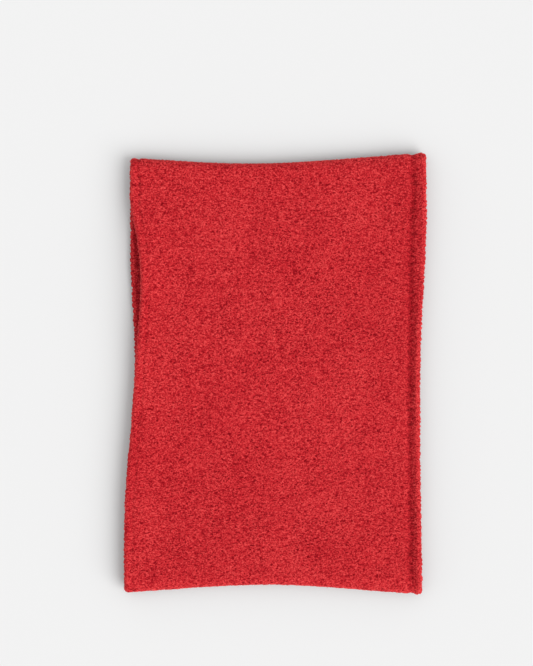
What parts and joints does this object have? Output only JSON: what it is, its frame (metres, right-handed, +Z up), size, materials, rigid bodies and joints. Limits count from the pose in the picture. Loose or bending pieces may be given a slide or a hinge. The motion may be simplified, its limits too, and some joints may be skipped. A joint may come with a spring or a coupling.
{
  "type": "neck gaiter",
  "caption": "Short tube of thick felted bouclé knit, laid flat, with turned-in stitched hems; it opens from flat to round to go over the head.",
  "frame": {"origin": "centre of the flattened gaiter's footprint, on its underside", "axes": "+X along the tube's axis towards the deeper hem, +Y across the flattened tube from the bottom fold to the top fold, +Z up through the two layers"},
  "size_m": [0.194, 0.2828, 0.0106],
  "materials": {
    "wool": "matte felted boucle knit",
    "thread": "satin sewing thread",
    "label": "satin ribbon, blank"
  },
  "bodies": {
    "back_strip_1": {"back_cloth_1": "wool", "left_hem_thread_back_1": "thread", "right_hem_thread_back_1": "thread"},
    "back_strip_2": {"back_cloth_2": "wool", "left_hem_thread_back_2": "thread", "right_hem_thread_back_2": "thread"},
    "back_strip_3": {"back_cloth_3": "wool", "left_hem_thread_back_3": "thread", "right_hem_thread_back_3": "thread"},
    "back_strip_4": {"back_cloth_4": "wool", "left_hem_thread_back_4": "thread", "right_hem_thread_back_4": "thread", "closing_seam_thread": "thread", "care_label": "label", "care_label_thread": "thread"},
    "back_strip_5": {"back_cloth_5": "wool", "left_hem_thread_back_5": "thread", "right_hem_thread_back_5": "thread"},
    "back_strip_6": {"back_cloth_6": "wool", "left_hem_thread_back_6": "thread", "right_hem_thread_back_6": "thread"},
    "back_strip_7": {"back_cloth_7": "wool", "left_hem_thread_back_7": "thread", "right_hem_thread_back_7": "thread"},
    "front_strip_1": {"front_cloth_1": "wool", "left_hem_thread_front_1": "thread", "right_hem_thread_front_1": "thread"},
    "front_strip_2": {"front_cloth_2": "wool", "left_hem_thread_front_2": "thread", "right_hem_thread_front_2": "thread"},
    "front_strip_3": {"front_cloth_3": "wool", "left_hem_thread_front_3": "thread", "right_hem_thread_front_3": "thread"},
    "front_strip_4": {"front_cloth_4": "wool", "left_hem_thread_front_4": "thread", "right_hem_thread_front_4": "thread"},
    "front_strip_5": {"front_cloth_5": "wool", "left_hem_thread_front_5": "thread", "right_hem_thread_front_5": "thread"},
    "front_strip_6": {"front_cloth_6": "wool", "left_hem_thread_front_6": "thread", "right_hem_thread_front_6": "thread"},
    "front_strip_7": {"front_cloth_7": "wool", "left_hem_thread_front_7": "thread", "right_hem_thread_front_7": "thread"},
    "top_fold": {"top_fold_cloth": "wool", "left_hem_thread_top_fold": "thread", "right_hem_thread_top_fold": "thread"},
    "bottom_fold": {"bottom_fold_cloth": "wool", "left_hem_thread_bottom_fold": "thread", "right_hem_thread_bottom_fold": "thread"}
  },
  "joints": [
    {"name": "back_bend_4_5", "type": "hinge", "parent": "back_strip_4", "child": "back_strip_5", "pos_m": [0, 0.01914, 0.0012], "axis": [1, 0, 0], "range_deg": [0, 25]},
    {"name": "back_bend_5_6", "type": "hinge", "parent": "back_strip_5", "child": "back_strip_6", "pos_m": [0, 0.05743, 0.0012], "axis": [1, 0, 0], "range_deg": [0, 25]},
    {"name": "back_bend_6_7", "type": "hinge", "parent": "back_strip_6", "child": "back_strip_7", "pos_m": [0, 0.09571, 0.0012], "axis": [1, 0, 0], "range_deg": [0, 25]},
    {"name": "back_to_top_fold", "type": "hinge", "parent": "back_strip_7", "child": "top_fold", "pos_m": [0, 0.134, 0.0012], "axis": [1, 0, 0], "range_deg": [-75, 0]},
    {"name": "front_to_top_fold", "type": "hinge", "parent": "top_fold", "child": "front_strip_7", "pos_m": [0, 0.134, 0.0094], "axis": [1, 0, 0], "range_deg": [-75, 0]},
    {"name": "front_bend_6_7", "type": "hinge", "parent": "front_strip_7", "child": "front_strip_6", "pos_m": [0, 0.09571, 0.0094], "axis": [1, 0, 0], "range_deg": [0, 25]},
    {"name": "front_bend_5_6", "type": "hinge", "parent": "front_strip_6", "child": "front_strip_5", "pos_m": [0, 0.05743, 0.0094], "axis": [1, 0, 0], "range_deg": [0, 25]},
    {"name": "front_bend_4_5", "type": "hinge", "parent": "front_strip_5", "child": "front_strip_4", "pos_m": [0, 0.01914, 0.0094], "axis": [1, 0, 0], "range_deg": [0, 25]},
    {"name": "front_bend_3_4", "type": "hinge", "parent": "front_strip_4", "child": "front_strip_3", "pos_m": [0, -0.01914, 0.0094], "axis": [1, 0, 0], "range_deg": [0, 25]},
    {"name": "front_bend_2_3", "type": "hinge", "parent": "front_strip_3", "child": "front_strip_2", "pos_m": [0, -0.05743, 0.0094], "axis": [1, 0, 0], "range_deg": [0, 25]},
    {"name": "front_bend_1_2", "type": "hinge", "parent": "front_strip_2", "child": "front_strip_1", "pos_m": [0, -0.09571, 0.0094], "axis": [1, 0, 0], "range_deg": [0, 25]},
    {"name": "front_to_bottom_fold", "type": "hinge", "parent": "front_strip_1", "child": "bottom_fold", "pos_m": [0, -0.134, 0.0094], "axis": [1, 0, 0], "range_deg": [-75, 0]},
    {"name": "back_to_bottom_fold", "type": "hinge", "parent": "bottom_fold", "child": "back_strip_1", "pos_m": [0, -0.134, 0.0012], "axis": [1, 0, 0], "range_deg": [-75, 0]},
    {"name": "back_bend_1_2", "type": "hinge", "parent": "back_strip_1", "child": "back_strip_2", "pos_m": [0, -0.09571, 0.0012], "axis": [1, 0, 0], "range_deg": [0, 25]},
    {"name": "back_bend_2_3", "type": "hinge", "parent": "back_strip_2", "child": "back_strip_3", "pos_m": [0, -0.05743, 0.0012], "axis": [1, 0, 0], "range_deg": [0, 25]}
  ],
  "couplings": [
    {"joint": "back_bend_5_6", "follows": "back_bend_4_5", "ratio": 1},
    {"joint": "back_bend_6_7", "follows": "back_bend_4_5", "ratio": 1},
    {"joint": "back_to_top_fold", "follows": "back_bend_4_5", "ratio": -3},
    {"joint": "front_to_top_fold", "follows": "back_bend_4_5", "ratio": -3},
    {"joint": "front_bend_6_7", "follows": "back_bend_4_5", "ratio": 1},
    {"joint": "front_bend_5_6", "follows": "back_bend_4_5", "ratio": 1},
    {"joint": "front_bend_4_5", "follows": "back_bend_4_5", "ratio": 1},
    {"joint": "front_bend_3_4", "follows": "back_bend_4_5", "ratio": 1},
    {"joint": "front_bend_2_3", "follows": "back_bend_4_5", "ratio": 1},
    {"joint": "front_bend_1_2", "follows": "back_bend_4_5", "ratio": 1},
    {"joint": "front_to_bottom_fold", "follows": "back_bend_4_5", "ratio": -3},
    {"joint": "back_to_bottom_fold", "follows": "back_bend_4_5", "ratio": -3},
    {"joint": "back_bend_1_2", "follows": "back_bend_4_5", "ratio": 1},
    {"joint": "back_bend_2_3", "follows": "back_bend_4_5", "ratio": 1}
  ]
}
